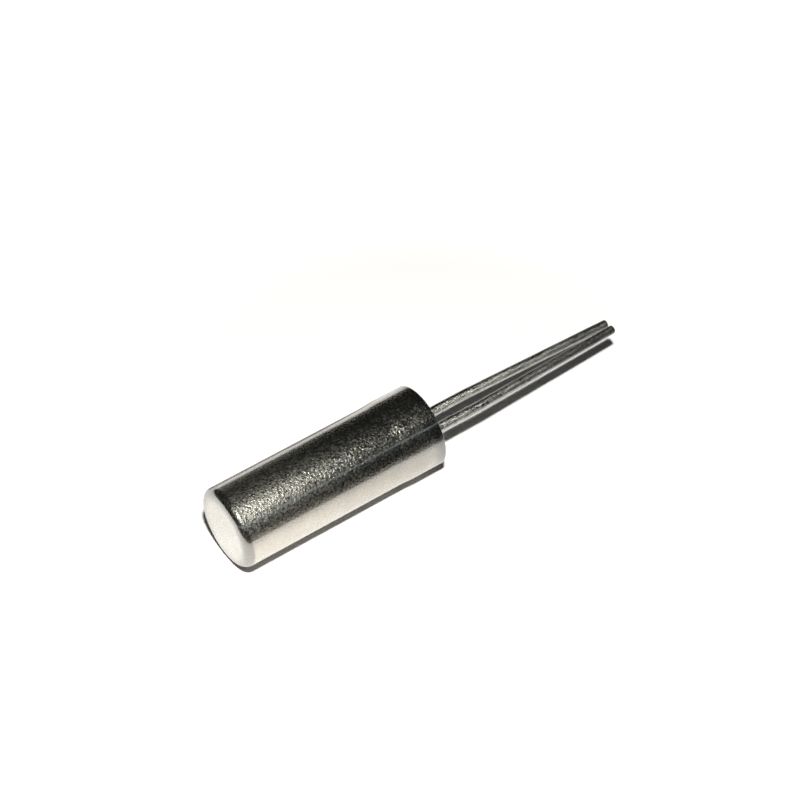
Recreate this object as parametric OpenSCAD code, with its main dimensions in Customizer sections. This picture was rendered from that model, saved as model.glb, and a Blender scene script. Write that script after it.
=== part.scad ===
// Cylindrical quartz crystal unit: a drawn metal can, pressed over a glass-sealed
// header, with a quartz tuning fork inside and two tinned wire leads.
// It lies on its side along X, closed end towards -X, on the plane z = 0.

/* [Can] */
// Outside diameter of the can's barrel
can_d = 3; // [2.9:0.05:3.2]
// Length of the can from its closed end to its rim
can_l = 8.2; // [7.9:0.1:8.6]
// Thickness of the drawn wall
can_wall = 0.16; // [0.12:0.01:0.2]
// Rounding between the closed end and the barrel
end_round = 0.3; // [0.16:0.02:0.4]
// How much the wall is spread, on the radius, where it grips the header
press_spread = 0.027; // [0.02:0.001:0.06]

/* [Header] */
// Height of the header along the can
header_h = 1.1; // [0.9:0.05:1.3]
// Depth of the header's face below the can's rim
header_depth = 0.12; // [0.05:0.01:0.25]
// Thickness of the metal ring round the glass
ring_wall = 0.28; // [0.2:0.02:0.36]
// Depth of the dish in the glass between its wall and its middle
glass_dish = 0.06; // [0.02:0.01:0.1]

/* [Leads] */
// Diameter of the bare wire, in the glass and inside the can
wire_d = 0.3; // [0.26:0.01:0.34]
// Distance between the two leads where they leave the glass
lead_pitch = 1.1; // [1:0.05:1.2]
// Distance between the two leads at their tips
tip_pitch = 0.53; // [0.45:0.01:0.8]
// Length of the leads past the can's rim
lead_l = 8.4; // [6:0.1:12]
// How much further the left lead reaches than the right one
tip_stagger = 0.1; // [0:0.02:0.3]
// Length of the straight run past the rim, before the leads turn together
straight_l = 2; // [1.2:0.1:4]
// Radius of that bend
bend_r = 8; // [4:0.5:12]
// Thickness of the tin on the wire where it starts, near the glass
tin_start = 0.045; // [0.02:0.005:0.06]
// Thickness of the tin on the wire at the tips
tin_tip = 0.01; // [0.005:0.005:0.02]
// Distance of the leads below the can's axis, which leaves the fork on it
lead_drop = 0.1; // [0.08:0.01:0.2]
// Turn of the header about the can's axis: minus lifts the right lead
header_turn = -22; // [-45:1:45]

/* [Tuning fork] */
// Length of the fork
fork_l = 5.9; // [5.4:0.1:6.1]
// Thickness of the quartz
fork_t = 0.2; // [0.12:0.01:0.22]
// Width of the base
base_w = 1.4; // [1.36:0.02:1.6]
// Length of the base, up to the crotch between the tines
base_l = 2.1; // [1.7:0.1:2.5]
// Width of one tine
tine_w = 0.5; // [0.4:0.02:0.56]
// Width of the slot between the tines
slot_w = 0.2; // [0.12:0.02:0.24]
// Length of the wire posts inside the can
post_l = 1.35; // [1.2:0.05:1.6]
// Gap between the header and the fork's base
fork_gap = 0.35; // [0.2:0.05:0.5]
// Thickness of the gold film, drawn thicker than the real one
film_t = 0.012; // [0.01:0.002:0.02]

/* [Hidden] */
$fn = 64;
cut = 0.5;  // how far a cutter runs past what it cuts

// can
can_r = can_d / 2;
bore_r = can_r - can_wall;
press_r = can_r + press_spread;
press_l = header_h + header_depth;  // the spread stretch, from the rim inwards
press_ramp = 0.3;  // the wall's slope from the barrel up to the spread stretch
rim_round = 0.05;

// header
ring_r = bore_r + press_spread;
glass_r = ring_r - ring_wall;
ring_chamfer = 0.08;
header_face = can_l - header_depth;
header_back = header_face - header_h;
meniscus_r = 0.1;
meniscus_h = 0.07;
meniscus_lip = 0.02;

// leads
wire_r = wire_d / 2;
tin_gap = 0.25;  // bare wire between the glass and the tin
bend_x = can_l + straight_l;
tin_bend = tin_tip + (tin_start - tin_tip) * 0.45;
bend_lap = 0.4;  // angle by which the bend runs into the straight stretches
bend_step = 0.003;  // and how much thinner it is, so that its ends lie inside them
inset = (lead_pitch - tip_pitch) / 2;
tip_round = 0.06;
post_tip = header_back - post_l;

// fork, from its tine tips at fork_tip to the end of its base at fork_end
fork_end = header_back - fork_gap;
fork_tip = fork_end - fork_l;
crotch = fork_end - base_l;
tines_w = 2 * tine_w + slot_w;
waist_l = 0.25;
waist_depth = 0.12;
tine_y = (tine_w + slot_w) / 2;
pad_gap = 0.16;
pad_l = base_l - waist_l - 0.45;
stripe_w = tine_w * 0.5;
stripe_l = (crotch - fork_tip) * 0.6;
weight_l = 0.7;
edge = 0.05;  // bare quartz left round a film

joint_l = post_l - fork_gap - 0.2;
joint_r = 0.27;

// placing
full_l = can_l + lead_l + tip_stagger / 2;
axis_z = press_r;

// Angle that takes a lead from its straight run to a tip that lies `run` on and `inset` in:
// the line from the tip is tangent to the bend.
function bend_angle(run) =
    atan2(run, bend_r - inset) - acos(bend_r / norm([run, bend_r - inset]));

// Lays the part down: its axis goes to X, and its lowest line to z = 0
module lying() {
    translate([-full_l / 2, 0, axis_z]) children();
}

// The same for what sits on the header, which is turned about the axis
module on_header() {
    lying() rotate([header_turn, 0, 0]) children();
}

// The right side (-Y) as drawn, or its mirror image on the left
module on_side(left) {
    mirror([0, left ? 1 : 0, 0]) children();
}

// Turns an (r, length) outline about X, with its length along +X
module turned_along_x() {
    rotate([0, 90, 0]) rotate_extrude() children();
}

// Half section of a cup that is closed at length 0, with a rounded corner
module cup_section(r, l, corner) {
    square([r - corner, corner + cut / 10]);
    translate([0, corner]) square([r, l - corner]);
    translate([r - corner, corner])
        intersection() {
            circle(corner);
            translate([0, -corner]) square(2 * corner);
        }
}

// Half section of the stretch that the header spreads, grown by `wall` past the header
module pressed_section(wall, end) {
    polygon([
        [0, can_l - press_l - press_ramp],
        [bore_r + wall, can_l - press_l - press_ramp],
        [ring_r + wall, can_l - press_l],
        [ring_r + wall, end],
        [0, end]
    ]);
}

module can_section() {
    difference() {
        union() {
            cup_section(can_r, can_l - press_l, end_round);
            pressed_section(can_wall, can_l - rim_round);
            rim_lip();
        }
        translate([0, can_wall])
            cup_section(bore_r, can_l - press_l - can_wall, end_round - can_wall / 2);
        pressed_section(0, can_l + cut);
    }
}

// The rim's rounded lip, past the end of the spread stretch
module rim_lip() {
    translate([0, can_l - rim_round - cut / 10])
        square([press_r - rim_round, rim_round + cut / 10]);
    translate([press_r - rim_round, can_l - rim_round]) circle(rim_round);
}

module can() {
    color("silver") lying() turned_along_x() can_section();
}

module header_ring() {
    color("gainsboro")
        lying()
            translate([header_back, 0, 0])
                turned_along_x()
                    polygon([
                        [glass_r, 0],
                        [ring_r - ring_chamfer, 0],
                        [ring_r, ring_chamfer * 2],
                        [ring_r, header_h - ring_chamfer / 2],
                        [ring_r - ring_chamfer / 2, header_h],
                        [glass_r, header_h]
                    ]);
}

// Half section of the glass, with a shallow dish in each face
module glass_section() {
    ball_r = (glass_r * glass_r + glass_dish * glass_dish) / (2 * glass_dish);
    difference() {
        square([glass_r, header_h]);
        for (y = [glass_dish - ball_r, header_h - glass_dish + ball_r])
            translate([0, y]) circle(ball_r, $fn = 720);
    }
}

// The glass creeps up each wire in a small cone
module meniscus(x, away) {
    translate([x, -lead_pitch / 2, -lead_drop])
        rotate([0, away * 90, 0])
            cylinder(h = meniscus_h + glass_dish, r1 = wire_r + meniscus_r,
                r2 = wire_r + meniscus_lip);
}

module glass_seal() {
    color("darkslategray")
        on_header()
            difference() {
                union() {
                    translate([header_back, 0, 0]) turned_along_x() glass_section();
                    for (left = [false, true])
                        on_side(left) {
                            meniscus(header_face - glass_dish, 1);
                            meniscus(header_back + glass_dish, -1);
                        }
                }
                for (left = [false, true])
                    on_side(left)
                        translate([header_back - cut, -lead_pitch / 2, -lead_drop])
                            rotate([0, 90, 0])
                                cylinder(h = header_h + 2 * cut, r = wire_r);
            }
}

// Half section of the straight stretch: post, glass passage, start of the tin, straight run
module straight_section() {
    tin_x = header_face + tin_gap;
    tin_r = wire_r + tin_start;
    polygon([
        [0, post_tip],
        [wire_r, post_tip],
        [wire_r, tin_x],
        [wire_r + tin_start * 0.7, tin_x + 0.06],
        [tin_r, tin_x + 0.2],
        [wire_r + tin_bend, bend_x],
        [0, bend_x]
    ]);
}

// Half section of the slanted stretch, with its rounded tip
module slanted_section(l) {
    tip_r = wire_r + tin_tip;
    polygon([[0, 0], [wire_r + tin_bend, 0], [tip_r, l - tip_round], [0, l - tip_round]]);
    square([tip_r - tip_round, l]);
    translate([tip_r - tip_round, l - tip_round])
        intersection() {
            circle(tip_round);
            translate([0, -tip_round]) square(2 * tip_round);
        }
}

// One lead, with the flat on its post that the fork's base lies on
module lead(left) {
    run = lead_l - straight_l + (left ? tip_stagger : -tip_stagger) / 2;
    angle = bend_angle(run);
    slant_l = sqrt(run * run + inset * inset - 2 * bend_r * inset);
    color("silver")
        on_header()
            on_side(left)
                translate([0, -lead_pitch / 2, -lead_drop]) {
                    difference() {
                        turned_along_x() straight_section();
                        translate([post_tip - cut, -wire_r - cut,
                            lead_drop - fork_t / 2 - film_t])
                            cube([fork_end - post_tip + cut + 0.05, wire_d + 2 * cut, cut]);
                    }
                    translate([bend_x, bend_r, 0])
                        rotate([0, 0, -90 - bend_lap])
                            rotate_extrude(angle = angle + 2 * bend_lap)
                                translate([bend_r, 0]) circle(wire_r + tin_bend - bend_step);
                    translate([bend_x, bend_r, 0])
                        rotate([0, 0, angle])
                            translate([0, -bend_r, 0])
                                turned_along_x() slanted_section(slant_l);
                }
}

module lead_left() lead(true);
module lead_right() lead(false);

// Plan of the quartz blank: base with a waist, two tines, and a slot with a round end
module fork_plan() {
    difference() {
        union() {
            translate([crotch, -base_w / 2]) square([base_l, base_w]);
            translate([fork_tip, -tines_w / 2]) square([crotch - fork_tip + edge, tines_w]);
        }
        translate([fork_tip - cut, -slot_w / 2])
            square([crotch - fork_tip + cut - slot_w / 2, slot_w]);
        translate([crotch - slot_w / 2, 0]) circle(slot_w / 2);
        for (side = [-1, 1])
            translate([crotch + 2 * waist_l, side * (base_w / 2 + waist_l / 2 - waist_depth)])
                circle(waist_l / 2);
    }
}

module tuning_fork() {
    color("lightcyan")
        on_header()
            translate([0, 0, -fork_t / 2]) linear_extrude(fork_t) fork_plan();
}

// Gold of one side, on one face: pad on the base, neck, stripe down the tine
module film_plan() {
    translate([fork_end - pad_l, -base_w / 2])
        square([pad_l - edge, (base_w - pad_gap) / 2]);
    translate([crotch + edge, -tine_y - stripe_w / 2])
        square([base_l - pad_l - edge, stripe_w]);
    translate([crotch - stripe_l, -tine_y - stripe_w / 2])
        square([stripe_l + 2 * edge, stripe_w]);
}

// Both faces' films and the wrap round the base's edge that joins them
module electrode(left) {
    color("gold")
        on_header()
            on_side(left) {
                for (z = [-fork_t / 2 - film_t, fork_t / 2])
                    translate([0, 0, z]) linear_extrude(film_t) film_plan();
                translate([fork_end - pad_l, -base_w / 2 - film_t, -fork_t / 2 - film_t])
                    cube([pad_l - edge, film_t, fork_t + 2 * film_t]);
            }
}

module electrode_left() electrode(true);
module electrode_right() electrode(false);

// Gold patch on the tine's tip, which is trimmed to tune the fork
module tine_weight(left) {
    color("gold")
        on_header()
            on_side(left)
                translate([fork_tip + edge, -tine_y - tine_w / 2 + edge, fork_t / 2])
                    cube([weight_l, tine_w - 2 * edge, 2 * film_t]);
}

module tine_weight_left() tine_weight(true);
module tine_weight_right() tine_weight(false);

// Solder that holds the base's edge on the post: a spindle, less what it wraps
module solder_joint(left) {
    arc_r = (joint_l * joint_l / 4 + joint_r * joint_r) / (2 * joint_r);
    film_edge = base_w / 2 + film_t;
    color("lightgray")
        on_header()
            on_side(left)
                difference() {
                    translate([post_tip + 0.1, -base_w / 2, -lead_drop / 2])
                        turned_along_x()
                            intersection() {
                                translate([joint_r - arc_r, joint_l / 2]) circle(arc_r);
                                square([joint_r, joint_l]);
                            }
                    translate([post_tip - cut, -film_edge, -fork_t / 2 - film_t])
                        cube([post_l + cut, base_w, fork_t + 2 * film_t]);
                    translate([post_tip - cut, -lead_pitch / 2, -lead_drop])
                        rotate([0, 90, 0]) cylinder(h = post_l + cut, r = wire_r);
                }
}

module solder_joint_left() solder_joint(true);
module solder_joint_right() solder_joint(false);

can();
header_ring();
glass_seal();
lead_left();
lead_right();
tuning_fork();
electrode_left();
electrode_right();
tine_weight_left();
tine_weight_right();
solder_joint_left();
solder_joint_right();
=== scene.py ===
"""A cylindrical quartz crystal unit: pressed can, glass-sealed header and two tinned leads."""

import math

import bmesh
import bpy
import numpy as np
from bpy.props import (
    FloatProperty,
    FloatVectorProperty,
    IntProperty,
    PointerProperty,
)
from bpy.types import Operator, Panel, PropertyGroup
from mathutils import Matrix, Vector


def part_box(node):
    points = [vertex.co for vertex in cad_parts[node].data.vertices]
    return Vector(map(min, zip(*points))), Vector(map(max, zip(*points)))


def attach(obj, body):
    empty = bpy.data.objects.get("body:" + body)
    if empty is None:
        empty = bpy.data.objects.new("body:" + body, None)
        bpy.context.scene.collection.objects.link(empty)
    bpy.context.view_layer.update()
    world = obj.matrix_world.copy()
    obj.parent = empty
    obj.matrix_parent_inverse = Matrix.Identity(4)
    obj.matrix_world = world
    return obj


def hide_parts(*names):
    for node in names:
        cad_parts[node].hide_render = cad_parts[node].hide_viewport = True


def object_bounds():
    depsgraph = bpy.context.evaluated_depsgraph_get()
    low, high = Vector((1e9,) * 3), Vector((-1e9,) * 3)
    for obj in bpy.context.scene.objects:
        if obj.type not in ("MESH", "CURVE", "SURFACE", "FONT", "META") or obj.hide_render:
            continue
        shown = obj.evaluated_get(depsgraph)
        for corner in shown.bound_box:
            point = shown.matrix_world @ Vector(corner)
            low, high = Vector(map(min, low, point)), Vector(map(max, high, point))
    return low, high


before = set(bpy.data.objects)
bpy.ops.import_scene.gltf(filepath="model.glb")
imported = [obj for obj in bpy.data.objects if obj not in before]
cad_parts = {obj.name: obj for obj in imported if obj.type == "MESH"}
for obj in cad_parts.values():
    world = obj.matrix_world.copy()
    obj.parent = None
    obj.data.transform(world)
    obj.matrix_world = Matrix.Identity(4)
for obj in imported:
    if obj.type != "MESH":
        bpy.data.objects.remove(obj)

bl_info = {
    "name": "Crystal unit",
    "version": (1, 0, 0),
    "blender": (4, 5, 0),
    "location": "View3D > Sidebar > Crystal",
    "description": "Builds the finished surfaces of a cylindrical quartz crystal unit",
    "category": "Add Mesh",
}

MM = 0.001
BLACK, WHITE = (0, 0, 0), (1, 1, 1)

# What the frame gives: the can, the header's ring and the leads' reach
CAD_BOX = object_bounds()
CAN_LOW, CAN_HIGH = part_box("can")
RING_LOW, RING_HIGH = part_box("header_ring")
AXIS_Z = (CAN_LOW.z + CAN_HIGH.z) / 2
PRESS_RADIUS = (CAN_HIGH.z - CAN_LOW.z) / 2
RING_RADIUS = (RING_HIGH.z - RING_LOW.z) / 2

# Meshes: how near corners merge in a new mesh and in a CAD solid's facets, the shortest edge
# that stays, and the angle in degrees from which an edge is sharp
MERGE_GAP = 1e-7
FACET_MERGE_GAP = 1e-6
SHORTEST_EDGE = 1e-8
SHARP_ANGLE = 40

# Turned forms: the circle that a section is swept along, the distance of the extra ring of
# faces beside a bend, and how finely the can's bends are divided
TURNED_PATH = 1 * MM
SUPPORT = 0.02 * MM
CORNER_STEPS, RAMP_STEPS, LIP_STEPS, BORE_STEPS = 16, 12, 8, 8
BARREL_SHARES = (0.25, 0.5, 0.75)
INNER_CORNER_ANGLES = np.linspace(10, 90, 8)

# The wires: where the tin starts past the ring, how soon it is thick, how the tip ends, how
# far the fork's flat runs on, and how many points each stretch has
TIN_GAP = 0.25 * MM
TIN_BUILD_UP = 0.2 * MM
TIP_INSET = 0.012 * MM
TIP_ROUND = 0.06 * MM
TIP_ANGLES = (20, 40, 55, 70, 80, 90)
FLAT_PAST_FORK = 0.05 * MM
POST_POINTS, STRAIGHT_POINTS, BEND_POINTS, SLANT_POINTS = 12, 60, 9, 90

# The runs in the tin: their length, how much narrower they are than long, and their seeds
RUN_LENGTH = 1.15 * MM
RUN_STRETCH = (0.55, 5.0, 5.0)
RUN_SEEDS = {"left": 3.7, "right": 0.0}

# The glass bead: its rings and spokes of faces, and how far a creep's foot spreads
GLASS_RINGS, GLASS_SPOKES = 64, 192
CREEP_SPREAD = 1.3

# The nickel: where the painted light falloff in its colour, its dark corner and its dark rim
# begin and end, measured from the can's rim, its closed end and its axis
FALLOFF_FROM_RIM, FALLOFF_FROM_END = 1.7 * MM, 0.7 * MM
CORNER_FROM_END = (0.36 * MM, 0.24 * MM)
CORNER_RADII = (0.95 * MM, 1.4 * MM)
BAND_FROM_RIM = (0.55 * MM, 0.12 * MM)
# How much brightness the corner and the rim lose, the nickel's roughness and what the falloff adds
CORNER_LOSS, RIM_LOSS = 0.65, 0.6
NICKEL_ROUGHNESS, FALLOFF_ROUGHNESS = 0.213, 0.11

# The tin towards the tips: how much darker it is painted (painted light falloff), and how much
# rougher it gets
TIP_LOSS, TIP_ROUGHNESS = 0.64, 0.06

# The floor's paper: its half width, and how it turns plain white for the camera with distance
FLOOR_HALF = 3.0
BACKDROP_REACH = 0.12
BACKDROP_FADE = [(0.075, 0.02), (0.11, 0.2), (0.2, 0.45), (0.4, 1.0)]
# How much brighter the camera sees it, how much darker bounced light sees it, and how much it
# glows for metal and glass
CAMERA_GAIN = 0.15
BOUNCE_LOSS = 0.5
MIRRORED_GLOW = 0.06
# In front of the part, metal sees it darken away from the closed end, and warm beside the can
FRONT_REACH = 0.04
FRONT_FADE = [(0.1, 0.0), (0.24, 0.22), (0.32, 0.36), (0.44, 0.78), (0.6, 1.0)]
FRONT_TINT = (-0.08, -0.115, -0.155)
# Behind the part, metal sees a dark strip, which is nearer where only the wires are. The
# can's stretch changes into the wires' from just before its rim to just past it
STRIP_REACH = 0.01
STRIP = [(0.3, 0.0), (0.38, 0.85), (0.72, 0.85), (0.9, 0.0)]
STRIP_NEARER = 1.6
BEFORE_RIM, PAST_RIM = 1 * MM, 2 * MM

# The room: dim all round, with a pale line across it that only reflections see
ROOM = (0.0115, 0.012, 0.011, 1)
GLEAM_COLOUR = (0.8, 0.95, 1.0, 1)
GLEAM = 0.22
GLEAM_EDGE = 0.3
GLEAM_TILT = math.radians(51)
GLEAM_WIDTH = 0.06

# The key light's width and place from the can's middle, and the camera's film and range
KEY_WIDTH = 0.007
KEY_PLACE = (-0.0216, -0.0405, 0.0985)
FILM_WIDTH = 36
NEAREST, FARTHEST = 0.005, 20


def length(text, default, note):
    """A length in metres that a user may change."""
    return FloatProperty(name=text, description=note, default=default, unit="LENGTH", precision=6)


def colour(text, default, note):
    """A surface colour that a user may change."""
    return FloatVectorProperty(
        name=text, description=note, default=default, size=3, min=0, max=1, subtype="COLOR"
    )


class CrystalCanSizes(PropertyGroup):
    """Sizes of the drawn can."""

    barrel_radius: length("Barrel radius", 1.5 * MM, "Outside radius of the barrel")
    wall: length("Wall", 0.16 * MM, "Thickness of the drawn wall")
    end_round: length("End rounding", 0.3 * MM, "Outside rounding at the closed end")
    ramp: length("Ramp", 0.5 * MM, "Length of the slope up to the pressed stretch")
    rim_round: length("Rim rounding", 0.05 * MM, "Rounding of the rim's lip")
    segments: IntProperty(name="Segments", description="Faces round the can", default=288)


class CrystalHeaderSizes(PropertyGroup):
    """Sizes of the header's ring and glass."""

    ring_wall: length("Ring wall", 0.28 * MM, "Thickness of the metal ring")
    chamfer: length("Ring chamfer", 0.08 * MM, "Lead-in on the ring's inner end")
    dish: length("Dish", 0.06 * MM, "Depth of the dish in each face of the glass")
    creep_radius: length("Creep radius", 0.1 * MM, "How far the glass creeps out from a wire")
    creep_height: length("Creep height", 0.07 * MM, "How far the glass creeps up a wire")
    segments: IntProperty(name="Segments", description="Faces round the ring", default=192)


class CrystalLeadSizes(PropertyGroup):
    """Sizes and places of the two wires."""

    wire_radius: length("Wire radius", 0.15 * MM, "Radius of the bare wire")
    pitch: length("Pitch", 1.1 * MM, "Distance between the wires at the glass")
    tip_pitch: length("Tip pitch", 0.53 * MM, "Distance between the wires at their tips")
    straight: length("Straight run", 2 * MM, "Straight length past the can's rim")
    bend_radius: length("Bend radius", 8 * MM, "Radius of the bend after it")
    tin_start: length("Tin near the glass", 0.045 * MM, "Thickness of the tin where it starts")
    tin_tip: length("Tin at the tips", 0.01 * MM, "Thickness of the tin at the tips")
    drop: length("Drop", 0.1 * MM, "Distance of the wires below the can's axis")
    fork_thickness: length("Fork thickness", 0.2 * MM, "Thickness of the quartz on the posts")
    film: length("Film", 0.012 * MM, "Thickness of the gold between quartz and post")
    unevenness: length("Unevenness", 0.011 * MM, "Height of the runs and lumps in the tin")
    turn: FloatProperty(
        name="Turn",
        description="Turn of the header about the can's axis",
        default=math.radians(-22),
        unit="ROTATION",
    )
    sides: IntProperty(name="Sides", description="Faces round a wire", default=64)


class CrystalFinish(PropertyGroup):
    """Colours of the surfaces."""

    nickel: colour("Nickel", (0.57, 0.555, 0.475), "Satin nickel of the can")
    plating: colour("Plating", (0.62, 0.61, 0.58), "Dull plating of the ring")
    tin: colour("Tin", (0.84, 0.83, 0.75), "Dipped tin of the wires")
    glass: colour("Seal glass", (0.012, 0.02, 0.018), "Dark sealing glass")
    quartz: colour("Quartz", (0.9, 0.95, 0.96), "Clear quartz of the fork")
    gold: colour("Gold", (0.9, 0.62, 0.22), "Evaporated gold films")
    solder: colour("Solder", (0.55, 0.55, 0.53), "Solder that holds the fork")


class CrystalStage(PropertyGroup):
    """Camera, lamp and floor."""

    azimuth: FloatProperty(
        name="Azimuth", description="Camera's turn about Z", default=math.radians(-35.18),
        unit="ROTATION",
    )
    elevation: FloatProperty(
        name="Elevation", description="Camera's height as an angle", default=math.radians(48.75),
        unit="ROTATION",
    )
    distance: length("Distance", 89.12 * MM, "From the camera to the point it aims at")
    aim: FloatVectorProperty(
        name="Aim", description="Point the camera looks at, from the middle of the frame's box",
        default=(-0.06 * MM, 1.37 * MM, 0), size=3, subtype="TRANSLATION",
    )
    lens: FloatProperty(name="Lens", description="Focal length in millimetres", default=113.4)
    key: FloatProperty(name="Key", description="Power of the key light in watts", default=0.138)
    floor: colour("Floor", (0.93, 0.908, 0.885), "Colour of the floor")


# ---------------------------------------------------------------- small helpers


def arc(centre_x, centre_y, radius, start, end, steps):
    """Points on an arc, from one angle to another in degrees, both ends included."""
    angles = np.radians(np.linspace(start, end, steps + 1))
    return [(centre_x + radius * math.cos(a), centre_y + radius * math.sin(a)) for a in angles]


def held(value):
    """A value held between 0 and 1."""
    return min(max(value, 0), 1)


def smooth(share):
    """A share between 0 and 1 that starts and ends gently."""
    return share * share * (3 - 2 * share)


def ease(x0, r0, x1, r1, steps):
    """Points on a gentle S-shaped slope between two radii."""
    share = np.linspace(0, 1, steps + 1)
    rise = (share + smooth(share)) / 2
    return [(x0 + (x1 - x0) * t, r0 + (r1 - r0) * s) for t, s in zip(share, rise)]


def mesh_object(name, points, edges, faces, material=None):
    """A new object at the origin, with a mesh and perhaps a material."""
    mesh = bpy.data.meshes.new(name)
    mesh.from_pydata(points, edges, faces)
    if material:
        mesh.materials.append(material)
    obj = bpy.data.objects.new(name, mesh)
    bpy.context.scene.collection.objects.link(obj)
    return obj


def line_object(name, points, closed=False, **values):
    """A chain of edges through points, with one float attribute for each list in values."""
    edges = [(i, i + 1) for i in range(len(points) - 1)]
    if closed:
        edges.append((len(points) - 1, 0))
    obj = mesh_object(name, [tuple(p) for p in points], edges, [])
    for key, numbers in values.items():
        obj.data.attributes.new(key, "FLOAT", "POINT").data.foreach_set("value", numbers)
    return obj


def run_tree(obj, tree, **inputs):
    """Runs a geometry tree on an object and keeps the result as a plain mesh."""
    modifier = obj.modifiers.new(tree.name, "NODES")
    modifier.node_group = tree
    sockets = {s.name: s.identifier for s in tree.interface.items_tree if s.in_out == "INPUT"}
    for label, value in inputs.items():
        modifier[sockets[label.replace("_", " ").capitalize()]] = value
    graph = bpy.context.evaluated_depsgraph_get()
    mesh = bpy.data.meshes.new_from_object(obj.evaluated_get(graph))
    obj.modifiers.remove(modifier)
    obj.data = mesh
    return obj


def close_and_orient(obj, merge=MERGE_GAP):
    """Merges doubles, turns the faces outwards and marks the sharp edges."""
    form = bmesh.new()
    form.from_mesh(obj.data)
    bmesh.ops.remove_doubles(form, verts=form.verts, dist=merge)
    bmesh.ops.dissolve_degenerate(form, edges=form.edges, dist=SHORTEST_EDGE)
    bmesh.ops.recalc_face_normals(form, faces=form.faces)
    for face in form.faces:
        face.smooth = True
    form.to_mesh(obj.data)
    form.free()
    obj.data.set_sharp_from_angle(angle=math.radians(SHARP_ANGLE))
    return obj


def finish_piece(obj, slot, *nodes):
    """Hands a finished piece to the frame: its body and the nodes it stands for. The slot is not
    used.
    """
    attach(obj, "root")
    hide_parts(*nodes)
    return obj


class Tree:
    """A node tree with short ways to add and join nodes."""

    def __init__(self, tree):
        self.tree = tree

    def add(self, kind, values=None, **settings):
        """Adds a node, with values for its input sockets by name or number."""
        new = self.tree.nodes.new(kind)
        for key, value in settings.items():
            setattr(new, key, value)
        for key, value in (values or {}).items():
            if isinstance(value, bpy.types.NodeSocket):
                self.tree.links.new(value, new.inputs[key])
            else:
                new.inputs[key].default_value = value
        return new

    def math(self, operation, a, b=None):
        """A math node's result."""
        values = {0: a} if b is None else {0: a, 1: b}
        return self.add("ShaderNodeMath", values, operation=operation).outputs[0]

    def limited(self, value):
        """A value held between 0 and 1."""
        return self.math("MINIMUM", self.math("MAXIMUM", value, 0.0), 1.0)

    def weighted(self, *parts):
        """The sum of values, each times its own share."""
        total = None
        for value, share in parts:
            part = self.math("MULTIPLY", value, share)
            total = part if total is None else self.math("ADD", total, part)
        return total

    def vector(self, operation, a, b=None):
        """A vector math node's results, by the names Vector and Value."""
        values = {0: a} if b is None else {0: a, 1: b}
        return self.add("ShaderNodeVectorMath", values, operation=operation).outputs

    def scaled(self, vector, factor):
        """A vector or a colour times a number."""
        values = {0: vector, "Scale": factor}
        return self.add("ShaderNodeVectorMath", values, operation="SCALE").outputs[0]

    def link(self, output, socket):
        """Joins an output to a socket."""
        self.tree.links.new(output, socket)

    def noise(self, place, size, detail, roughness=0.5):
        """Noise whose blotches are about the given size."""
        values = {"Vector": place, "Scale": 1 / size, "Detail": detail, "Roughness": roughness}
        return self.add("ShaderNodeTexNoise", values).outputs[0]

    def stretched(self, place, scale):
        """Coordinates scaled on each axis."""
        return self.add("ShaderNodeMapping", {"Vector": place, "Scale": scale}).outputs[0]

    def bump(self, height, depth, strength=1.0):
        """A bumped normal from a height between 0 and 1 and its depth."""
        values = {"Height": height, "Strength": strength, "Distance": depth}
        return self.add("ShaderNodeBump", values).outputs[0]

    def mapped(self, value, low, high):
        """A value between 0 and 1 taken between two numbers."""
        values = {"Value": value, "To Min": low, "To Max": high}
        return self.add("ShaderNodeMapRange", values).outputs[0]

    def spread(self, value, low, high):
        """The middle of a noise's range taken between two numbers."""
        values = {"Value": value, "From Min": 0.3, "From Max": 0.7, "To Min": low, "To Max": high}
        return self.add("ShaderNodeMapRange", values).outputs[0]

    def rise(self, value, low, high):
        """How far a value has come from one number to another, smoothly from 0 to 1."""
        values = {"Value": value, "From Min": low, "From Max": high}
        new = self.add("ShaderNodeMapRange", values, interpolation_type="SMOOTHSTEP")
        return new.outputs[0]

    def ramp(self, value, stops):
        """A smooth grey ramp through (position, grey) stops."""
        new = self.add("ShaderNodeValToRGB", {0: value})
        new.color_ramp.interpolation = "EASE"
        points = new.color_ramp.elements
        while len(points) < len(stops):
            points.new(0.5)
        for point, (place, grey) in zip(points, stops):
            point.position = place
            point.color = (grey, grey, grey, 1)
        return new.outputs["Color"]


# ---------------------------------------------------------------- geometry trees


def new_geometry_tree(name, inputs):
    """An empty geometry tree, its group input and a list of (label, socket type) inputs."""
    tree = bpy.data.node_groups.new(name, "GeometryNodeTree")
    tree.interface.new_socket("Geometry", in_out="INPUT", socket_type="NodeSocketGeometry")
    for label, kind in inputs:
        tree.interface.new_socket(label, in_out="INPUT", socket_type=kind)
    tree.interface.new_socket("Geometry", in_out="OUTPUT", socket_type="NodeSocketGeometry")
    kit = Tree(tree)
    return kit, kit.add("NodeGroupInput").outputs


def end_geometry_tree(kit, geometry, material):
    """Ends a geometry tree in real geometry with its material."""
    real = kit.add("GeometryNodeRealizeInstances", {0: geometry})
    painted = kit.add("GeometryNodeSetMaterial", {"Geometry": real.outputs[0], "Material": material})
    kit.add("NodeGroupOutput", {0: painted.outputs[0]})
    return kit.tree


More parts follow.
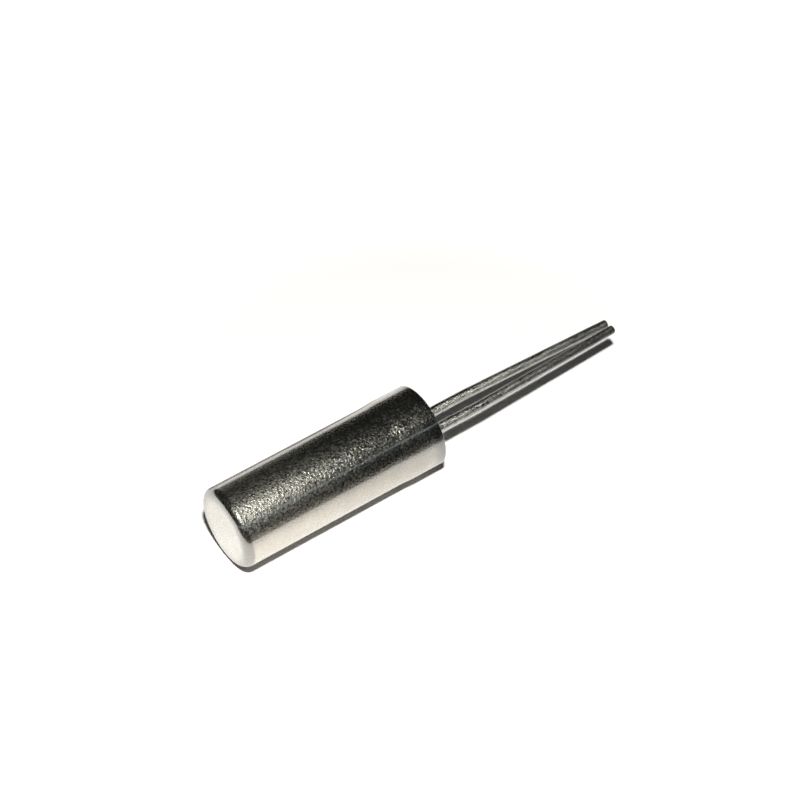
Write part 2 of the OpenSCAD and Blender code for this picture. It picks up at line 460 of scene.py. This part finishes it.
def turned_tree():
    """Turns a half section, drawn as a chain of edges, about the X axis."""
    kit, given = new_geometry_tree(
        "Turned form",
        [
            ("Segments", "NodeSocketInt"),
            ("Path radius", "NodeSocketFloat"),
            ("Place", "NodeSocketVector"),
            ("Material", "NodeSocketMaterial"),
        ],
    )
    section = kit.add("GeometryNodeMeshToCurve", {0: given["Geometry"]})
    path = kit.add(
        "GeometryNodeCurvePrimitiveCircle",
        {"Resolution": given["Segments"], "Radius": given["Path radius"]},
    )
    swept = kit.add(
        "GeometryNodeCurveToMesh",
        {"Curve": path.outputs["Curve"], "Profile Curve": section.outputs[0]},
    )
    laid = kit.add(
        "GeometryNodeTransform",
        {
            "Geometry": swept.outputs[0],
            "Rotation": (0, -math.pi / 2, 0),
            "Translation": given["Place"],
        },
    )
    merged = kit.add(
        "GeometryNodeMergeByDistance", {0: laid.outputs[0], "Distance": MERGE_GAP}
    )
    return end_geometry_tree(kit, merged.outputs[0], given["Material"])


def wire_tree():
    """Sweeps a wire along its path, with a radius from the path and runs of tin along it."""
    kit, given = new_geometry_tree(
        "Tinned wire",
        [
            ("Sides", "NodeSocketInt"),
            ("Unevenness", "NodeSocketFloat"),
            ("Seed", "NodeSocketFloat"),
            ("Material", "NodeSocketMaterial"),
        ],
    )
    radius = kit.add("GeometryNodeInputNamedAttribute", {"Name": "wire_radius"}, data_type="FLOAT")
    tinned = kit.add("GeometryNodeInputNamedAttribute", {"Name": "tinned"}, data_type="FLOAT")
    path = kit.add("GeometryNodeMeshToCurve", {0: given["Geometry"]})
    ring = kit.add("GeometryNodeCurvePrimitiveCircle", {"Resolution": given["Sides"], "Radius": 1.0})
    swept = kit.add(
        "GeometryNodeCurveToMesh",
        {
            "Curve": path.outputs[0],
            "Profile Curve": ring.outputs["Curve"],
            "Scale": radius.outputs["Attribute"],
            "Fill Caps": True,
        },
    )
    place = kit.add("GeometryNodeInputPosition").outputs[0]
    runs = kit.add(
        "ShaderNodeTexNoise",
        {
            "Vector": kit.vector("MULTIPLY", place, RUN_STRETCH)["Vector"],
            "W": given["Seed"],
            "Scale": 1 / RUN_LENGTH,
            "Detail": 3.0,
            "Roughness": 0.55,
        },
        noise_dimensions="4D",
    )
    # Noise from 0 to 1 becomes a lift that is at most the unevenness, inwards or outwards
    centred = kit.math("SUBTRACT", runs.outputs[0], 0.5)
    lift = kit.math("MULTIPLY", centred, given["Unevenness"])
    lift = kit.math("MULTIPLY", lift, 2.0)
    lift = kit.math("MULTIPLY", lift, tinned.outputs["Attribute"])
    offset = kit.scaled(kit.add("GeometryNodeInputNormal").outputs[0], lift)
    moved = kit.add("GeometryNodeSetPosition", {"Geometry": swept.outputs[0], "Offset": offset})
    return end_geometry_tree(kit, moved.outputs[0], given["Material"])


# ---------------------------------------------------------------- materials


def emptied(owner):
    """The node tree of a new material or world, with nothing in it yet."""
    owner.use_nodes = True
    owner.node_tree.nodes.clear()
    return Tree(owner.node_tree)


def new_material(name):
    """A material with one Principled shader, its kit and its Object coordinates."""
    material = bpy.data.materials.new(name)
    kit = emptied(material)
    shader = kit.add("ShaderNodeBsdfPrincipled")
    output = kit.add("ShaderNodeOutputMaterial", {"Surface": shader.outputs[0]})
    output.is_active_output = True
    place = kit.add("ShaderNodeTexCoord").outputs["Object"]
    return material, kit, shader, place


def set_metal(shader, coat_roughness=None, coat_ior=None):
    """Makes a shader a metal and, where a coat is given, lays a clear skin over it."""
    shader.inputs["Metallic"].default_value = 1.0
    if coat_roughness is not None:
        shader.inputs["Coat Weight"].default_value = 1.0
        shader.inputs["Coat Roughness"].default_value = coat_roughness
        shader.inputs["Coat IOR"].default_value = coat_ior


def tinted(kit, colour_value, mask, low, high, share=1.0):
    """A colour times a factor between low and high and a share, held between black and white."""
    factor = kit.math("MULTIPLY", kit.mapped(mask, low, high), share)
    tint = kit.scaled(tuple(colour_value), factor)
    tint = kit.vector("MAXIMUM", tint, BLACK)["Vector"]
    return kit.vector("MINIMUM", tint, WHITE)["Vector"]


def nickel_brightness(kit, place, along):
    """How bright the can's nickel is, from 0 to 1: less at the closed corner and the rim."""
    from_axis = kit.vector("SUBTRACT", place, (0, 0, AXIS_Z))["Vector"]
    from_axis = kit.stretched(from_axis, scale=(0, 1, 1))
    from_axis = kit.vector("LENGTH", from_axis)["Value"]
    corner = kit.rise(along, *(CAN_LOW.x + far for far in CORNER_FROM_END))
    corner = kit.math("MULTIPLY", corner, kit.rise(from_axis, *CORNER_RADII))
    rim = kit.rise(along, *(CAN_HIGH.x - far for far in BAND_FROM_RIM))
    corner = kit.math("MULTIPLY", corner, CORNER_LOSS)
    rim = kit.math("MULTIPLY", rim, RIM_LOSS)
    return kit.math("SUBTRACT", 1.0, kit.math("MAXIMUM", corner, rim))


def satin_nickel(finish):
    """The can: fine-grained nickel, duller towards its closed end, under a mirror-like skin. Its
    colour is painted lighter towards the closed end, a painted highlight that fades towards the rim.
    """
    material, kit, shader, place = new_material("satin_nickel")
    grain = kit.noise(place, size=0.075 * MM, detail=2.0, roughness=0.6)
    sand = kit.noise(place, size=0.085 * MM, detail=2.0, roughness=0.7)
    stain = kit.noise(place, size=0.6 * MM, detail=4.0, roughness=0.65)
    lengthwise = kit.stretched(place, scale=(0.25, 1.6, 1.6))
    drawn = kit.noise(lengthwise, size=0.3 * MM, detail=3.0, roughness=0.5)
    along = kit.add("ShaderNodeSeparateXYZ", {0: place}).outputs["X"]
    # Painted highlight: the colour gets lighter from the rim to the closed end; this ramp also adds
    # roughness
    painted_falloff = kit.rise(along, CAN_HIGH.x - FALLOFF_FROM_RIM, CAN_LOW.x + FALLOFF_FROM_END)
    mask = kit.weighted((sand, 0.5), (stain, 0.5), (painted_falloff, 0.25))
    bright = nickel_brightness(kit, place, along)
    shade = tinted(kit, finish.nickel, mask, low=0.25, high=1.55, share=bright)
    dull = kit.math("ADD", kit.math("MULTIPLY", painted_falloff, FALLOFF_ROUGHNESS), NICKEL_ROUGHNESS)
    dull = kit.math("ADD", dull, kit.spread(sand, low=-0.11, high=0.165))
    kit.link(shade, shader.inputs["Base Color"])
    kit.link(dull, shader.inputs["Roughness"])
    kit.link(kit.bump(grain, depth=0.016 * MM), shader.inputs["Normal"])
    kit.link(kit.bump(drawn, depth=0.0016 * MM), shader.inputs["Coat Normal"])
    set_metal(shader, coat_roughness=0.055, coat_ior=4.0)
    return material


def dipped_tin(finish):
    """The wires: tin that ran along the wire, with dull skin, pits and bright runs, painted darker
    towards the tips.
    """
    material, kit, shader, place = new_material("dipped_tin")
    long_runs = kit.stretched(place, scale=(0.1, 2.2, 2.2))
    long_skin = kit.stretched(place, scale=(0.4, 1.4, 1.4))
    runs = kit.noise(long_runs, size=0.15 * MM, detail=3.0, roughness=0.6)
    skin = kit.noise(long_skin, size=0.15 * MM, detail=4.0, roughness=0.75)
    grit = kit.noise(place, size=0.075 * MM, detail=3.0, roughness=0.75)
    along = kit.add("ShaderNodeSeparateXYZ", {0: place}).outputs["X"]
    towards_tip = kit.rise(along, CAN_HIGH.x, CAD_BOX[1][0])
    mask = kit.weighted((runs, 0.3), (grit, 0.4), (skin, 0.3))
    # Painted light falloff: the tin's colour is made darker towards the tips
    bright = kit.math("SUBTRACT", 1.0, kit.math("MULTIPLY", towards_tip, TIP_LOSS))
    # The mask keeps near its middle, so a wide span gives the tin both black pits and white runs
    shade = tinted(kit, finish.tin, mask, low=-1.9, high=3.4, share=bright)
    dull = kit.spread(mask, low=0.12, high=0.5)
    dull = kit.math("ADD", dull, kit.math("MULTIPLY", towards_tip, TIP_ROUGHNESS))
    kit.link(shade, shader.inputs["Base Color"])
    kit.link(dull, shader.inputs["Roughness"])
    kit.link(kit.bump(mask, depth=0.055 * MM), shader.inputs["Normal"])
    kit.link(kit.bump(mask, depth=0.014 * MM), shader.inputs["Coat Normal"])
    set_metal(shader, coat_roughness=0.07, coat_ior=2.6)
    return material


def plain_metal(name, colour_value, size, depth, low, high):
    """A metal with a fine grain in its height and a roughness between low and high."""
    material, kit, shader, place = new_material(name)
    grain = kit.noise(place, size, detail=4.0)
    shade = tinted(kit, colour_value, grain, low=0.85, high=1.1)
    kit.link(shade, shader.inputs["Base Color"])
    kit.link(kit.mapped(grain, low, high), shader.inputs["Roughness"])
    kit.link(kit.bump(grain, depth), shader.inputs["Normal"])
    set_metal(shader)
    return material


def sealing_glass(finish):
    """The header's dark glass, with a few bubbles and a wet gloss."""
    material, kit, shader, place = new_material("sealing_glass")
    bubbles = kit.add("ShaderNodeTexVoronoi", {"Vector": place, "Scale": 1 / (0.16 * MM)})
    hollow = kit.ramp(bubbles.outputs["Distance"], [(0.0, 0.0), (0.28, 1.0)])
    cloud = kit.noise(place, size=0.4 * MM, detail=4.0)
    shade = tinted(kit, finish.glass, cloud, low=0.5, high=1.8)
    kit.link(shade, shader.inputs["Base Color"])
    kit.link(kit.bump(hollow, depth=0.01 * MM, strength=0.5), shader.inputs["Normal"])
    shader.inputs["Roughness"].default_value = 0.12
    shader.inputs["IOR"].default_value = 1.5
    return material


def clear_quartz(finish):
    """The fork's polished quartz, faintly etched."""
    material, kit, shader, place = new_material("clear_quartz")
    etched = kit.noise(place, size=0.08 * MM, detail=3.0)
    shade = tinted(kit, finish.quartz, etched, low=0.95, high=1.05)
    kit.link(shade, shader.inputs["Base Color"])
    kit.link(kit.bump(etched, depth=0.004 * MM, strength=0.3), shader.inputs["Normal"])
    shader.inputs["Roughness"].default_value = 0.05
    shader.inputs["IOR"].default_value = 1.54
    shader.inputs["Transmission Weight"].default_value = 1.0
    return material


# ---------------------------------------------------------------- forms


def can_section(sizes):
    """The can's wall as (x, radius) points from the outer pole to the inner one."""
    x_end, x_rim = CAN_LOW.x, CAN_HIGH.x
    barrel = sizes.barrel_radius
    bore = barrel - sizes.wall
    press_x = RING_LOW.x
    ramp_x = press_x - sizes.ramp
    flat = barrel - sizes.end_round
    corner = x_end + sizes.end_round
    inner_round = sizes.end_round - sizes.wall / 2
    inner_corner = x_end + sizes.wall + inner_round
    lip_x = x_rim - sizes.rim_round
    points = [(x_end, 0), (x_end, barrel * 0.5), (x_end, flat - SUPPORT)]
    points += arc(corner, flat, sizes.end_round, 180, 90, CORNER_STEPS)
    points += [(corner + SUPPORT, barrel)]
    points += [(corner + (ramp_x - corner) * share, barrel) for share in BARREL_SHARES]
    points += [(ramp_x - SUPPORT, barrel)]
    points += ease(ramp_x, barrel, press_x, PRESS_RADIUS, RAMP_STEPS)
    points += [(press_x + SUPPORT, PRESS_RADIUS), (lip_x - SUPPORT, PRESS_RADIUS)]
    points += arc(lip_x, PRESS_RADIUS - sizes.rim_round, sizes.rim_round, 90, 0, LIP_STEPS)
    points += [(x_rim, RING_RADIUS + 2 * SUPPORT), (x_rim, RING_RADIUS)]
    points += [(x_rim - SUPPORT, RING_RADIUS), (press_x, RING_RADIUS)]
    points += ease(press_x, RING_RADIUS, ramp_x, bore, BORE_STEPS)[1:]
    points += [(inner_corner, bore)]
    points += [
        (inner_corner - inner_round * math.sin(a), bore - inner_round * (1 - math.cos(a)))
        for a in np.radians(INNER_CORNER_ANGLES)
    ]
    points += [(x_end + sizes.wall, 0)]
    return points


def turned(name, section, segments, material, closed=False):
    """A piece turned about the can's axis from its (x, radius) section."""
    chain = [(radius - TURNED_PATH, x, 0) for x, radius in section]
    obj = line_object(name, chain, closed)
    tree = bpy.data.node_groups.get("Turned form") or turned_tree()
    run_tree(
        obj, tree, segments=segments, path_radius=TURNED_PATH, place=(0, 0, AXIS_Z),
        material=material,
    )
    return close_and_orient(obj)


def header_place(leads):
    """Takes the leads' own plane, with its axis at the can's, to its place in the frame."""
    return Matrix.Translation((0, 0, AXIS_Z)) @ Matrix.Rotation(leads.turn, 4, "X")


def wire_course(leads, post_x, tin_x, tip_x):
    """A wire's centreline as (x, distance moved inwards) points: straight, bent and straight."""
    bend_x = CAN_HIGH.x + leads.straight
    bend = leads.bend_radius
    run = tip_x - bend_x
    inset = (leads.pitch - leads.tip_pitch) / 2
    reach = math.hypot(run, bend - inset)
    angle = math.atan2(run, bend - inset) - math.acos(bend / reach)
    slant = math.sqrt(reach * reach - bend * bend)
    course = [(x, 0.0) for x in np.linspace(post_x, tin_x, POST_POINTS)]
    course += [(x, 0.0) for x in np.linspace(tin_x, bend_x, STRAIGHT_POINTS)[1:]]
    course += [
        (bend_x + bend * math.sin(turn), bend * (1 - math.cos(turn)))
        for turn in np.linspace(0, angle, BEND_POINTS)[1:]
    ]
    x, inwards = course[-1]
    steps = list(np.linspace(0, slant - TIP_ROUND, SLANT_POINTS))[1:]
    steps += [slant - TIP_ROUND * (1 - math.sin(a)) for a in np.radians(TIP_ANGLES)]
    course += [(x + s * math.cos(angle), inwards + s * math.sin(angle)) for s in steps]
    return course


def wire_path(leads, side):
    """A wire's centreline in the frame, its radii and how far it is tinned."""
    low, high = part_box(f"lead_{side}")
    tip_x = high.x - TIP_INSET
    tin_x = RING_HIGH.x + TIN_GAP
    sign = 1 if side == "left" else -1
    header = header_place(leads)
    points, radii, tinned = [], [], []
    for x, inwards in wire_course(leads, low.x, tin_x, tip_x):
        points.append(header @ Vector((x, sign * (leads.pitch / 2 - inwards), -leads.drop)))
        share = held((x - tin_x) / (tip_x - tin_x))
        coverage = smooth(held((x - tin_x) / TIN_BUILD_UP))
        tin = leads.tin_start + (leads.tin_tip - leads.tin_start) * share
        into_tip = held((x - (tip_x - TIP_ROUND)) / TIP_ROUND)
        rounding = TIP_ROUND * (1 - math.sqrt(max(1 - into_tip * into_tip, 0)))
        radii.append(leads.wire_radius + tin * coverage - rounding)
        tinned.append(coverage)
    return points, radii, tinned


def flatten_post(obj, leads):
    """Cuts the flat that the fork's base lies on into the wire's inner end."""
    forward = header_place(leads)
    back = forward.inverted()
    flat_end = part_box("tuning_fork")[1].x + FLAT_PAST_FORK
    flat_z = -leads.fork_thickness / 2 - leads.film
    for vertex in obj.data.vertices:
        if vertex.co.x < flat_end:
            place = back @ vertex.co
            place.z = min(place.z, flat_z)
            vertex.co = forward @ place


def disc_faces():
    """The faces of a disc of rings and spokes, whose first point is its middle."""
    faces = [(0, 1 + i, 1 + (i + 1) % GLASS_SPOKES) for i in range(GLASS_SPOKES)]
    for ring in range(GLASS_RINGS - 1):
        inner, outer = 1 + ring * GLASS_SPOKES, 1 + (ring + 1) * GLASS_SPOKES
        for i in range(GLASS_SPOKES):
            j = (i + 1) % GLASS_SPOKES
            faces.append((inner + i, outer + i, outer + j, inner + j))
    return faces


def glass_form(name, header, leads, material):
    """The glass bead: a round slab with a dish in each face that creeps up the wires."""
    radius = RING_RADIUS - header.ring_wall
    share = np.linspace(0, 1, GLASS_RINGS + 1)[1:]
    angle = np.linspace(0, 2 * math.pi, GLASS_SPOKES, endpoint=False)
    y = np.concatenate([[0.0], np.outer(share * radius, np.cos(angle)).ravel()])
    z = np.concatenate([[0.0], np.outer(share * radius, np.sin(angle)).ravel()])
    level = header.dish * ((y * y + z * z) / radius**2 - 1)
    for side in (-1, 1):
        gap = np.hypot(y - side * leads.pitch / 2, z + leads.drop) - leads.wire_radius
        creep = np.clip(1 - gap / (header.creep_radius * CREEP_SPREAD), 0, 1) ** 2
        level = level + (header.creep_height - level) * creep
    count = len(y)
    front = np.stack([RING_HIGH.x + level, y, z], axis=1)
    back = np.stack([RING_LOW.x - level, y, z], axis=1)
    points = np.concatenate([front, back]).tolist()
    faces = disc_faces()
    faces += [tuple(count + corner for corner in reversed(face)) for face in faces]
    rim = 1 + (GLASS_RINGS - 1) * GLASS_SPOKES
    for i in range(GLASS_SPOKES):
        j = (i + 1) % GLASS_SPOKES
        faces.append((rim + i, count + rim + i, count + rim + j, rim + j))
    header_turn = header_place(leads)
    points = [header_turn @ Vector(point) for point in points]
    return close_and_orient(mesh_object(name, points, [], faces, material))


def mended(name, node, material):
    """A new piece on the corners of a CAD solid, without the slivers of its faceting."""
    corners = [node.matrix_world @ corner.co for corner in node.data.vertices]
    faces = [tuple(face.vertices) for face in node.data.polygons]
    return close_and_orient(mesh_object(name, corners, [], faces, material), FACET_MERGE_GAP)


# ---------------------------------------------------------------- operators


class CRYSTAL_OT_can(Operator):
    """Make the drawn can with its pressed stretch and rounded rim"""

    bl_idname = "crystal.can"
    bl_label = "Can"

    def execute(self, context):
        sizes = context.scene.crystal_can
        material = satin_nickel(context.scene.crystal_finish)
        can = turned("drawn_can", can_section(sizes), sizes.segments, material)
        finish_piece(can, "can_nickel", "can")
        return {"FINISHED"}


class CRYSTAL_OT_header(Operator):
    """Make the header's ring and its glass"""

    bl_idname = "crystal.header"
    bl_label = "Header"

    def execute(self, context):
        header, leads = context.scene.crystal_header, context.scene.crystal_leads
        finish = context.scene.crystal_finish
        inner = RING_RADIUS - header.ring_wall
        section = [
            (RING_LOW.x, inner),
            (RING_LOW.x, RING_RADIUS - header.chamfer),
            (RING_LOW.x + header.chamfer * 2, RING_RADIUS),
            (RING_HIGH.x - header.chamfer / 2, RING_RADIUS),
            (RING_HIGH.x, RING_RADIUS - header.chamfer / 2),
            (RING_HIGH.x, inner),
        ]
        plating = plain_metal(
            "dull_plating", finish.plating, size=0.07 * MM, depth=0.006 * MM, low=0.25, high=0.45
        )
        ring = turned("ring", section, header.segments, plating, closed=True)
        finish_piece(ring, "ring_plating", "header_ring")
        glass = glass_form("glass_bead", header, leads, sealing_glass(finish))
        finish_piece(glass, "seal_glass", "glass_seal")
        return {"FINISHED"}


class CRYSTAL_OT_leads(Operator):
    """Make the two tinned wires along their paths"""

    bl_idname = "crystal.leads"
    bl_label = "Leads"

    def execute(self, context):
        leads = context.scene.crystal_leads
        material = dipped_tin(context.scene.crystal_finish)
        tree = wire_tree()
        for side, seed in RUN_SEEDS.items():
            points, radii, tinned = wire_path(leads, side)
            wire = line_object(f"wire_{side}", points, wire_radius=radii, tinned=tinned)
            run_tree(
                wire, tree, sides=leads.sides, unevenness=leads.unevenness, seed=seed,
                material=material,
            )
            flatten_post(wire, leads)
            close_and_orient(wire)
            finish_piece(wire, "tinned_wire", f"lead_{side}")
        return {"FINISHED"}


class CRYSTAL_OT_inside(Operator):
    """Finish the fork, its films and its solder inside the can"""

    bl_idname = "crystal.inside"
    bl_label = "Inside"

    def execute(self, context):
        finish = context.scene.crystal_finish
        gold = plain_metal(
            "gold_film", finish.gold, size=0.05 * MM, depth=0.002 * MM, low=0.15, high=0.3
        )
        solder = plain_metal(
            "grey_solder", finish.solder, size=0.06 * MM, depth=0.01 * MM, low=0.3, high=0.5
        )
        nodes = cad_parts
        nodes["tuning_fork"].material_slots[0].material = clear_quartz(finish)
        for side in ("left", "right"):
            nodes[f"electrode_{side}"].material_slots[0].material = gold
            nodes[f"tine_weight_{side}"].material_slots[0].material = gold
            joint = mended(f"solder_{side}", nodes[f"solder_joint_{side}"], solder)
            finish_piece(joint, "solder", f"solder_joint_{side}")
        return {"FINISHED"}


class CRYSTAL_OT_stage(Operator):
    """Set the floor, the room, the key light and the camera"""

    bl_idname = "crystal.stage"
    bl_label = "Stage"

    def execute(self, context):
        scene, stage = context.scene, context.scene.crystal_stage
        make_floor(stage)
        make_room(scene)
        make_key_light(stage)
        make_camera(scene, stage)
        scene.view_settings.view_transform = "Standard"
        return {"FINISHED"}


def floor_glow(kit, place, path):
    """How strongly the floor shines: far off for the camera, faintly for metal and glass."""
    away = kit.math("DIVIDE", kit.vector("LENGTH", place)["Value"], BACKDROP_REACH)
    seen = kit.math("MULTIPLY", path["Is Camera Ray"], kit.ramp(away, BACKDROP_FADE))
    mirrored = kit.math("MAXIMUM", path["Is Glossy Ray"], path["Is Transmission Ray"])
    return kit.math("ADD", seen, kit.math("MULTIPLY", mirrored, MIRRORED_GLOW))


def lost_behind(kit, spot, path, past_can):
    """How much darker metal sees the paper behind the part: a dark strip along it."""
    beside = kit.math("DIVIDE", kit.math("SUBTRACT", spot["X"], CAN_LOW.x), CAN_HIGH.z / 2)
    nearer = kit.math("ADD", kit.math("MULTIPLY", past_can, STRIP_NEARER), 1.0)
    behind = kit.math("MULTIPLY", kit.math("DIVIDE", spot["Y"], STRIP_REACH), nearer)
    strip = kit.math("MULTIPLY", kit.ramp(behind, STRIP), kit.limited(beside))
    return kit.math("MULTIPLY", path["Is Glossy Ray"], strip)


def floor_paper(kit, place, path, colour_value):
    """The floor's colour, as the camera, metal and bounced light each see it."""
    spot = kit.add("ShaderNodeSeparateXYZ", {0: place}).outputs
    past_can = kit.rise(spot["X"], CAN_HIGH.x - BEFORE_RIM, CAN_HIGH.x + PAST_RIM)
    ahead = kit.math("DIVIDE", kit.math("MULTIPLY", spot["Y"], -1.0), CAN_HIGH.z)
    front = kit.math("MULTIPLY", path["Is Glossy Ray"], kit.limited(ahead))
    from_end = kit.vector("DISTANCE", place, (CAN_LOW.x, 0, 0))["Value"]
    fade = kit.ramp(kit.math("DIVIDE", from_end, FRONT_REACH), FRONT_FADE)
    lost = kit.math("MULTIPLY", front, fade)
    lost = kit.math("MAXIMUM", lost, lost_behind(kit, spot, path, past_can))
    bounced = kit.math("MINIMUM", path["Diffuse Depth"], 1.0)
    lost = kit.math("MAXIMUM", lost, kit.math("MULTIPLY", bounced, BOUNCE_LOSS))
    kept = kit.math("ADD", 1.0, kit.math("MULTIPLY", path["Is Camera Ray"], CAMERA_GAIN))
    kept = kit.math("SUBTRACT", kept, lost)
    beside_can = kit.math("MULTIPLY", front, kit.math("SUBTRACT", 1.0, past_can))
    warmed = kit.vector("ADD", kit.scaled(FRONT_TINT, beside_can), WHITE)["Vector"]
    paper = kit.vector("MULTIPLY", tuple(colour_value), warmed)["Vector"]
    return kit.scaled(paper, kept)


def make_floor(stage):
    """A wide pale floor that keeps the part's shadow."""
    material = bpy.data.materials.new("pale_floor")
    kit = emptied(material)
    place = kit.add("ShaderNodeTexCoord").outputs["Object"]
    path = kit.add("ShaderNodeLightPath").outputs
    paper = floor_paper(kit, place, path, stage.floor)
    matt = kit.add("ShaderNodeBsdfDiffuse", {"Color": paper})
    glow = kit.add("ShaderNodeEmission", {"Strength": floor_glow(kit, place, path)})
    both = kit.add("ShaderNodeAddShader", {0: matt.outputs[0], 1: glow.outputs[0]})
    kit.add("ShaderNodeOutputMaterial", {"Surface": both.outputs[0]})
    signs = ((-1, -1), (1, -1), (1, 1), (-1, 1))
    corners = [(x * FLOOR_HALF, y * FLOOR_HALF, 0) for x, y in signs]
    mesh_object("floor", corners, [], [(0, 1, 2, 3)], material)


def make_room(scene):
    """A dim room above the floor, with a pale line that only reflections see."""
    room = bpy.data.worlds.new("dim_room")
    kit = emptied(room)
    dim = kit.add("ShaderNodeBackground", {"Color": ROOM, "Strength": 1.0})
    towards = kit.add("ShaderNodeTexCoord").outputs["Generated"]
    across = (0, math.cos(GLEAM_TILT), math.sin(GLEAM_TILT))
    off = kit.vector("DOT_PRODUCT", towards, across)["Value"]
    off = kit.math("DIVIDE", kit.math("ABSOLUTE", off), GLEAM_WIDTH)
    line = kit.ramp(off, [(GLEAM_EDGE, GLEAM), (1.0, 0.0)])
    line = kit.math("MULTIPLY", line, kit.add("ShaderNodeLightPath").outputs["Is Glossy Ray"])
    gleam = kit.add("ShaderNodeBackground", {"Color": GLEAM_COLOUR, "Strength": line})
    both = kit.add("ShaderNodeAddShader", {0: dim.outputs[0], 1: gleam.outputs[0]})
    kit.add("ShaderNodeOutputWorld", {"Surface": both.outputs[0]})
    scene.world = room


def aimed(obj, place, target):
    """Puts a lamp or camera at a place and points it at a target."""
    obj.matrix_world = Matrix.Translation(place) @ (
        (Vector(target) - Vector(place)).to_track_quat("-Z", "Y").to_matrix().to_4x4()
    )
    bpy.context.scene.collection.objects.link(obj)
    return obj


def make_key_light(stage):
    """A small round key light near the camera, whose reflection runs along the barrel."""
    lamp = bpy.data.lights.new("key", "AREA")
    lamp.shape = "DISK"
    lamp.size = KEY_WIDTH
    lamp.energy = stage.key
    middle = Vector((CAN_LOW.x + CAN_HIGH.x, 0, 2 * AXIS_Z)) / 2
    aimed(bpy.data.objects.new("key", lamp), middle + Vector(KEY_PLACE), middle)


def make_camera(scene, stage):
    """The camera, at its angles and distance from the point that it aims at."""
    camera = bpy.data.cameras.new("view")
    camera.lens = stage.lens
    camera.sensor_width = FILM_WIDTH
    camera.clip_start, camera.clip_end = NEAREST, FARTHEST
    back = Vector(
        (
            math.sin(stage.azimuth) * math.cos(stage.elevation),
            -math.cos(stage.azimuth) * math.cos(stage.elevation),
            math.sin(stage.elevation),
        )
    )
    target = Vector((0, 0, AXIS_Z)) + Vector(stage.aim)
    place = target + back * stage.distance
    scene.camera = aimed(bpy.data.objects.new("view", camera), place, target)


class CRYSTAL_PT_panel(Panel):
    """Sidebar panel with the pieces and their sizes"""

    bl_idname = "CRYSTAL_PT_panel"
    bl_label = "Crystal unit"
    bl_space_type = "VIEW_3D"
    bl_region_type = "UI"
    bl_category = "Crystal"

    def draw(self, context):
        for name, operator in GROUPS.items():
            box = self.layout.box()
            settings = getattr(context.scene, name)
            for key in settings.__annotations__:
                box.prop(settings, key)
            box.operator(operator)


GROUPS = {
    "crystal_can": "crystal.can",
    "crystal_header": "crystal.header",
    "crystal_leads": "crystal.leads",
    "crystal_finish": "crystal.inside",
    "crystal_stage": "crystal.stage",
}
SETTINGS = {
    "crystal_can": CrystalCanSizes,
    "crystal_header": CrystalHeaderSizes,
    "crystal_leads": CrystalLeadSizes,
    "crystal_finish": CrystalFinish,
    "crystal_stage": CrystalStage,
}
CLASSES = [
    *SETTINGS.values(),
    CRYSTAL_OT_can,
    CRYSTAL_OT_header,
    CRYSTAL_OT_leads,
    CRYSTAL_OT_inside,
    CRYSTAL_OT_stage,
    CRYSTAL_PT_panel,
]


def register():
    """Registers the classes and hangs the settings on the scene."""
    for cls in CLASSES:
        bpy.utils.register_class(cls)
    for name, cls in SETTINGS.items():
        setattr(bpy.types.Scene, name, PointerProperty(type=cls))


def unregister():
    """Takes the settings and the classes away again."""
    for name in SETTINGS:
        delattr(bpy.types.Scene, name)
    for cls in reversed(CLASSES):
        bpy.utils.unregister_class(cls)


def main():
    """Makes every piece and the stage."""
    register()
    bpy.ops.crystal.can()
    bpy.ops.crystal.header()
    bpy.ops.crystal.leads()
    bpy.ops.crystal.inside()
    bpy.ops.crystal.stage()


if __name__ == "__main__":
    main()
